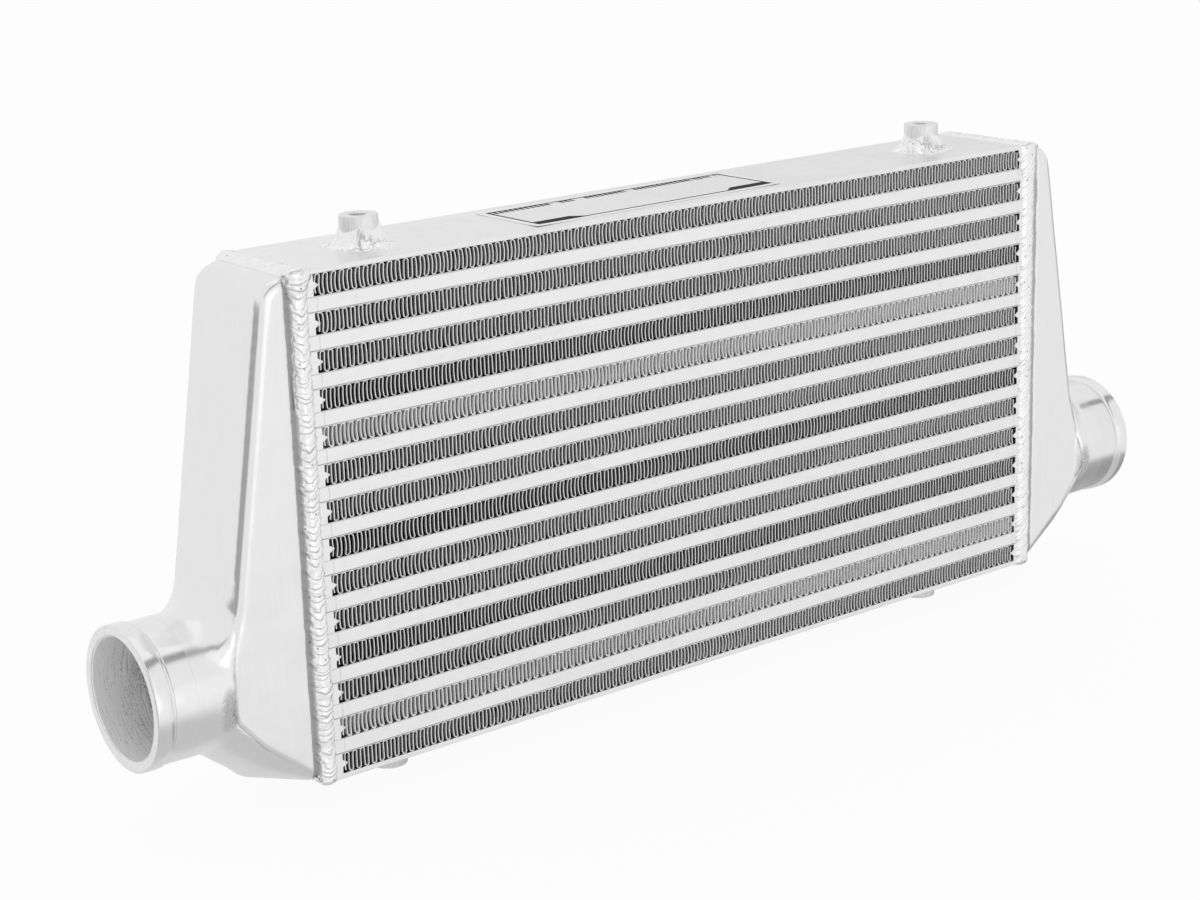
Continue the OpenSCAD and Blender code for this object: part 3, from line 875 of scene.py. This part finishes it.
def aroundCore(s):  # a point and its outward direction, s millimetres round the core's end
    half = (core["face"], core["height"] / 2)
    corner = seam["corner"]
    for turn in range(4):
        reach, along = half[turn % 2], half[(turn + 1) % 2]
        straight, arc = 2 * (along - corner), math.pi / 2 * corner
        if s <= straight:
            outward, point = Vector((1, 0)), Vector((reach, s - straight / 2))
            break
        s -= straight
        if s <= arc or turn == 3:
            outward = Vector((math.cos(s / corner), math.sin(s / corner)))
            point = Vector((reach - corner, along - corner)) + outward * corner
            break
        s -= arc
    spun = Matrix.Rotation(math.pi / 2 * turn, 2)
    outward, point = spun @ outward, spun @ point
    return Vector((0, -point.x, core["middle"] + point.y)), Vector((0, -outward.x, outward.y))


def seamLength():
    corner = seam["corner"]
    return 2 * (core["height"] - 2 * corner) + 2 * (2 * core["face"] - 2 * corner) + math.tau * corner


def makeSeam(side, name):
    look = seam[name]
    length = seamLength()
    count = round(length / seam["step"])
    bm = bmesh.new()
    bmesh.ops.create_grid(bm, x_segments=count, y_segments=seam["rows"], size=1)
    creases = bm.verts.layers.float.new("crease")
    seed = 30 * side
    half, shift = (look["onTank"] + look["onCore"]) / 2, (look["onTank"] - look["onCore"]) / 2
    for v in bm.verts:
        s = (v.co.x + 1) / 2 * length
        t = v.co.y
        point, outward = aroundCore(s)
        topBand = max(0, outward.z)
        around = Vector((0, point.y, point.z)) * seam["noiseScale"]  # this noise joins up after a full turn
        swell = drawn(around, 1, seed) * seam["swell"]
        drift = drawn(around, 0.7, seed + 50) * seam["drift"]
        blunt = 0.6 + 0.8 * drawn(around, 1.7, seed + 70)  # some dabs are flatter than others
        jitter = drawn(around, 4, seed + 80, t * 0.6) * seam["jitter"]
        arc = math.sqrt(max(0, 1 - t * t)) * 0.7 + (1 - abs(t)) * 0.3
        forward = look["point"] * arc * (0.7 + blunt) + look["slant"] * t
        phase = (s + forward) / look["pitch"] + drift + jitter
        index = math.floor(phase)
        share = phase - index
        strength = 0.25 + 1.3 * abs(noise.noise(Vector((index * 0.73, seed, 0))))
        broken = 0.6 + 0.9 * noise.noise(Vector((index * 0.9, t * 1.8 + seed, 0)))
        rippled = limited((look["smooth"] - t) * 6) * (1 - topBand)  # smooth beyond the last ripples
        height, width = 0, 0
        for middle, reach, extraHeight, extraWidth in seam[name + "Dabs"]:
            fall = math.exp(-((s - middle) / reach) ** 2)
            height += extraHeight * fall
            width += extraWidth * fall
        wander = drawn(around, 3, seed + 9 * (t > 0)) * seam["edgeWander"] + width
        wander += seam["lobe"] * math.sin(math.pi * share) * rippled + topBand * seam["topWidth"]
        dome = (1 - t * t) ** 0.55 if abs(t) < 1 else 0
        ripple = look["ripple"] * strength * ((1 - share) ** 1.5) * (1 - abs(t) ** 5) * rippled
        rough = noise.noise(Vector((t * 2.2 + seed, point.y * 0.45, point.z * 0.1))) * seam["topRoughness"]
        wrinkle = noise.noise(Vector((phase * 2.7, t * 1.6 + seed, index * 0.37))) * seam["wrinkle"]
        sink = seam["sinkOnCore"] if t < 0 else seam["sinkOnTank"]
        crown = seam["crown"] * (1 - (1 - seam["topCrown"]) * topBand) + swell + height
        domed = crown + sink - look["ripple"] * 0.5 * rippled + rough * topBand + wrinkle
        rise = domed * dome + ripple - sink
        v.co = point + outward * rise + Vector((core["end"] + shift + t * (half + wander), 0, 0))
        # painted shade: dark lines at the ripples' creases, kept for the weld's colour
        nearCrease = max(0, 1 - min(share, 1 - share) / seam["creaseWidth"])
        v[creases] = nearCrease * strength * max(0, broken) * rippled * (1 - abs(t) ** 4)
    closeRims(bm)
    mirrored(bm, side)
    finishPiece(name + "Seam", bm, "weld", ("seam_weld_" + name,), 80)


makeSeam(left, "left")
makeSeam(right, "right")
print("seam welds made")


# Mounting bungs with their welds

bung = {
    "radius": 8.75, "chamfer": 0.5, "holeRadius": 4.05, "holeDepth": 11, "threadPitch": 1.25,
    "threadDepth": 0.62, "threadSteps": 48, "steps": 96,
}
skirt = {
    "radius": 16.3, "height": 8.8, "rings": 36, "steps": 260, "lump": 0.85, "lumpSize": 4.8, "warp": 1.7,
    "creaseWidth": 0.08, "climb": 2.4, "spread": 2.6, "drip": 0.4, "tongueLength": 4, "rimDepth": 0.6,
    "dabs": {"left": (5.9, 0.45, 3.2), "right": (4.4, 0.5, 1.6)},  # direction, half width, extra height
}


def bungProfile(height):  # (place along the bung, radius)
    radius, chamfer, hole = bung["radius"], bung["chamfer"], bung["holeRadius"]
    floor = height - bung["holeDepth"]
    return [(0, 0.01), (0, radius), (height - chamfer, radius),
            (height - chamfer * 0.3, radius - chamfer * 0.3), (height, radius - chamfer),
            (height, hole + 0.5), (height - 0.5, hole), (floor, hole), (floor - 2, 0.01)]


def cutThread(bm, start):  # a ridge that winds down the hole
    pitch, steps = bung["threadPitch"], bung["threadSteps"]
    turns = int(bung["holeDepth"] / pitch) - 1
    section = ((0, 0), (bung["threadDepth"], 0.5 * pitch), (0, pitch))
    rim = bung["holeRadius"] + 0.02
    corners = [bm.verts.new((rim - depth, 0, start - place)) for depth, place in section]
    edges = [bm.edges.new((corners[i - 1], corners[i])) for i in (1, 2)]
    bmesh.ops.spin(bm, geom=corners + edges, cent=(0, 0, 0), axis=(0, 0, 1), angle=-math.tau * turns,
                   dvec=(0, 0, -pitch / steps), steps=steps * turns, use_duplicate=False)


def makeBung(level, up, name):
    node = "bung_%s_%s" % (level, name)
    low, high = nodeBox(node)
    height = high.z - low.z
    bm = bmesh.new()
    lathe(bm, bungProfile(height), bung["steps"], "Z")
    faceOutward(bm)
    cutThread(bm, height - 0.5)
    if up < 0:
        bmesh.ops.rotate(bm, cent=(0, 0, 0), matrix=Matrix.Rotation(math.pi, 3, "X"), verts=bm.verts[:])
    base = low.z if up > 0 else high.z
    bmesh.ops.translate(bm, vec=((low.x + high.x) / 2, (low.y + high.y) / 2, base), verts=bm.verts[:])
    finishPiece("bung%s%s" % (level.capitalize(), name.capitalize()), bm, "bung", (node,), 35,
                recalculate=False)


def makeSkirt(level, up, name, seed):
    node = "bung_weld_%s_%s" % (level, name)
    low, high = nodeBox(node)
    foot = (low + high) / 2
    foot.z = low.z if up > 0 else high.z
    bm = bmesh.new()
    bmesh.ops.create_grid(bm, x_segments=skirt["steps"], y_segments=skirt["rings"], size=1)
    creases = bm.verts.layers.float.new("crease")
    inner = bung["radius"] - 0.5
    turned, spread, extra = skirt["dabs"][name]
    for v in bm.verts:
        angle = (v.co.x + 1) * math.pi
        t = (v.co.y + 1) / 2
        direction = Vector((math.cos(angle), math.sin(angle), 0))
        lobes = drawn(direction, 1.3, seed)
        spot = direction * (9 + 6.5 * t)
        bent = spot + noise.noise_vector(spot * 0.25 + Vector((seed, 0, 0))) * skirt["warp"]
        near = noise.voronoi(bent / skirt["lumpSize"] + Vector((0, 0, seed)))[0]
        gap = near[1] - near[0]
        lively = limited(0.35 + 1.8 * drawn(direction, 0.9, seed + 31), 0.05)  # one side stays smooth
        lump = (math.sqrt(min(1, gap / 0.4)) - 0.5) * lively
        tongue = max(0, drawn(direction, 3.4, seed + 60) - 0.28) * 3
        outer = skirt["radius"] + lobes * skirt["spread"] + lump * 0.8 * t
        outer += tongue * skirt["tongueLength"] * t ** 3
        radius = inner + (outer - inner) * t
        dab = extra * math.exp(-((angle - turned) / spread) ** 2)
        climb = skirt["height"] + lobes * skirt["climb"] + dab
        fade = math.sin(math.pi * min(1, t * 0.96 + 0.03)) ** 0.6
        drips = drawn(spot, 0.34, seed) * 1.4 + drawn(spot, 0.8, 0, seed)
        height = (1 - t) ** 2.7 * climb + (1 - t ** 5) * 0.5
        height += (lump * skirt["lump"] + drips * skirt["drip"]) * fade
        if t < 0.001 or t > 0.999:  # both rims end below the plate's face
            height = -skirt["rimDepth"]
        v.co = foot + direction * radius + Vector((0, 0, up * height))
        # painted shade: dark lines in the creases between the lumps, kept for the weld's colour
        v[creases] = max(0, 1 - gap / skirt["creaseWidth"]) * lively * fade * 0.7
    closeRims(bm)
    finishPiece("bungWeld%s%s" % (level.capitalize(), name.capitalize()), bm, "weld", (node,), 80)


bungPlaces = (("top", 1, "left"), ("top", 1, "right"), ("bottom", -1, "left"), ("bottom", -1, "right"))
for level, up, name in bungPlaces:
    makeBung(level, up, name)
for count, (level, up, name) in enumerate(bungPlaces):
    makeSkirt(level, up, name, 17 * count + 3)
print("bungs made")


# Label

def makeLabel():
    bm = bmesh.new()
    bmesh.ops.create_grid(bm, x_segments=60, y_segments=20, size=0.5,
                          matrix=Matrix.Diagonal((label["length"], label["depth"], 1, 1)))
    for v in bm.verts:
        corner = (abs(v.co.x) / label["length"] * 2) ** 8 * (abs(v.co.y) / label["depth"] * 2) ** 4
        v.co.z = label["gauge"] + corner * label["curl"] + noise.noise(v.co * 0.05) * label["wave"]
    bmesh.ops.solidify(bm, geom=bm.faces[:], thickness=label["gauge"] * 0.9)
    turned = at(label["x"], 0, core["top"]) @ Matrix.Rotation(math.radians(label["turn"]), 4, "Z")
    bmesh.ops.transform(bm, matrix=turned, verts=bm.verts[:])
    finishPiece("labelPlate", bm, "label", ("label",))


makeLabel()
print("label made")


# Nodes that stay as they are

for name, node in frame["nodes"].items():
    if not node.hide_render:
        node.data.materials.clear()
        node.data.materials.append(materials["chargeFin" if name in chargeRows else "sheet"])


# Camera, light and floor

camera = {
    "azimuth": -37.765, "elevation": 15.883, "roll": -1.751, "distance": 1148.3,
    "aim": (-66.97, -30, 135.35), "focal": 2469.9, "imageWidth": 1200, "sensor": 36,
}


def makeCamera():
    azimuth, elevation = math.radians(camera["azimuth"]), math.radians(camera["elevation"])
    level = math.cos(elevation)
    away = Vector((math.sin(azimuth) * level, -math.cos(azimuth) * level, math.sin(elevation)))
    data = bpy.data.cameras.new("camera")
    data.sensor_width = camera["sensor"]
    data.lens = camera["focal"] * camera["sensor"] / camera["imageWidth"]
    data.clip_start, data.clip_end = 0.05, 50
    eye = newObject("camera", data)
    roll = Matrix.Rotation(math.radians(camera["roll"]), 4, "Z")
    turn = away.to_track_quat("Z", "Y").to_matrix().to_4x4() @ roll
    eye.matrix_world = Matrix.Translation((Vector(camera["aim"]) + away * camera["distance"]) * mm) @ turn
    bpy.context.scene.camera = eye


studio = {"room": 0.9, "floorSize": 12, "floorTone": 0.9, "floorShown": 0.92}
softBoxes = {  # place, what it points at, size, power
    "topBox": ((0.2, 0.1, 2.0), (0, 0, 0.1), (1.8, 1.2), 0.7),
    "frontBox": ((-0.3, -2.2, 0.9), (0, 0, 0.1), (1.6, 1.6), 0.8),
}
# what metal sees between the white walls: direction in degrees to the right of the front, reach as a
# cosine, how dark it is (less than 0 is brighter), lowest and highest place (as sines), blur
gaps = {
    "camera": (-98, 0.85, 0.56, -0.75, 0.13, 0.04),
    "right": (108, 0.86, 0.5, -0.8, -0.08, 0.06),
    "frontWall": (24, 0.93, -0.07, -0.6, 0.3, 0.04),
    "backWall": (125, 0.92, 0.14, 0.1, 0.7, 0.05),
    "lowRight": (90, 0.68, 0.42, -0.76, -0.46, 0.05),
    "frontStrip": (4, 0.96, -0.25, -0.6, 0.5, 0.02),
}
overhead = {  # a slot between the top box and the front wall
    "tilt": (0.24, 0.45), "turn": -0.4, "shift": 0.228, "dark": 0.62, "blur": 0.04, "from": (0.42, 0.08),
}
ground = {"from": -0.34, "to": -0.66, "dark": 0.19, "darker": 0.13, "frontAt": (0.15, 0.2)}


def makeSoftBox(name, place, aim, size, power):
    data = bpy.data.lights.new(name, "AREA")
    data.shape = "RECTANGLE"
    data.size, data.size_y = size
    data.energy = power
    lamp = newObject(name, data)
    direction = Vector(aim) - Vector(place)
    lamp.matrix_world = Matrix.Translation(place) @ direction.to_track_quat("-Z", "Y").to_matrix().to_4x4()


def makeWorld():  # a pale room; metal also sees the soft gaps between its white walls and boxes
    world = bpy.data.worlds.new("studio")
    bpy.context.scene.world = world
    graph = Graph(world)
    x, y, z = graph.axes(graph.node("ShaderNodeTexCoord", {}, {}, "Generated"))
    bright = 1
    for direction, reach, dark, low, high, blur in gaps.values():
        turn = math.radians(direction)
        inside = (x * math.sin(turn) - y * math.cos(turn)).above(reach, blur)
        inside = inside * z.above(low, blur) * z.below(high, blur)
        bright = (1 - inside * dark) * bright
    low, high = overhead["tilt"]
    tilt = (y + x * overhead["turn"] + overhead["shift"]) * -1 / (y * y + z * z).math("SQRT")
    slot = tilt.above(low, overhead["blur"]) * tilt.below(high, overhead["blur"])
    slot = slot * z.above(*overhead["from"])
    below = z.below((ground["from"] + ground["to"]) / 2, (ground["from"] - ground["to"]) / 2)
    below = below * (y.below(*ground["frontAt"]) * ground["darker"] + ground["dark"])
    bright = bright * (1 - slot * overhead["dark"]) * (1 - below) * studio["room"]
    room = graph.node("ShaderNodeBackground", {}, {"Color": graph.grey(bright)})
    shown = graph.node("ShaderNodeBackground", {}, {"Color": (1, 1, 1, 1)})
    path = graph.node("ShaderNodeLightPath", {}, {})
    seen = path + Wire(graph, path.socket.node.outputs["Is Transmission Ray"])
    graph.surface("World", graph.blended(seen.clamped(), room, shown))


def makeFloor():
    bm = bmesh.new()
    bmesh.ops.create_grid(bm, x_segments=1, y_segments=1, size=studio["floorSize"] / 2)
    floor = looseObject("floor", bm)
    material = bpy.data.materials.new("floorPaper")
    graph = Graph(material)
    graph.tree.nodes.remove(graph.tree.nodes["Principled BSDF"])
    paper = graph.node("ShaderNodeBsdfDiffuse", {}, {"Color": (studio["floorTone"],) * 3 + (1,)})
    glow = graph.node("ShaderNodeEmission", {}, {"Color": (1, 1, 1, 1), "Strength": 1})
    share = graph.node("ShaderNodeLightPath", {}, {}) * studio["floorShown"]
    graph.surface("Material", graph.blended(share, paper, glow))
    floor.visible_glossy = False  # metal sees the pale room instead
    floor.data.materials.append(material)


makeCamera()
makeWorld()
makeFloor()
for name, values in softBoxes.items():
    makeSoftBox(name, *values)
bpy.context.scene.view_settings.view_transform = "Standard"
print("studio made")
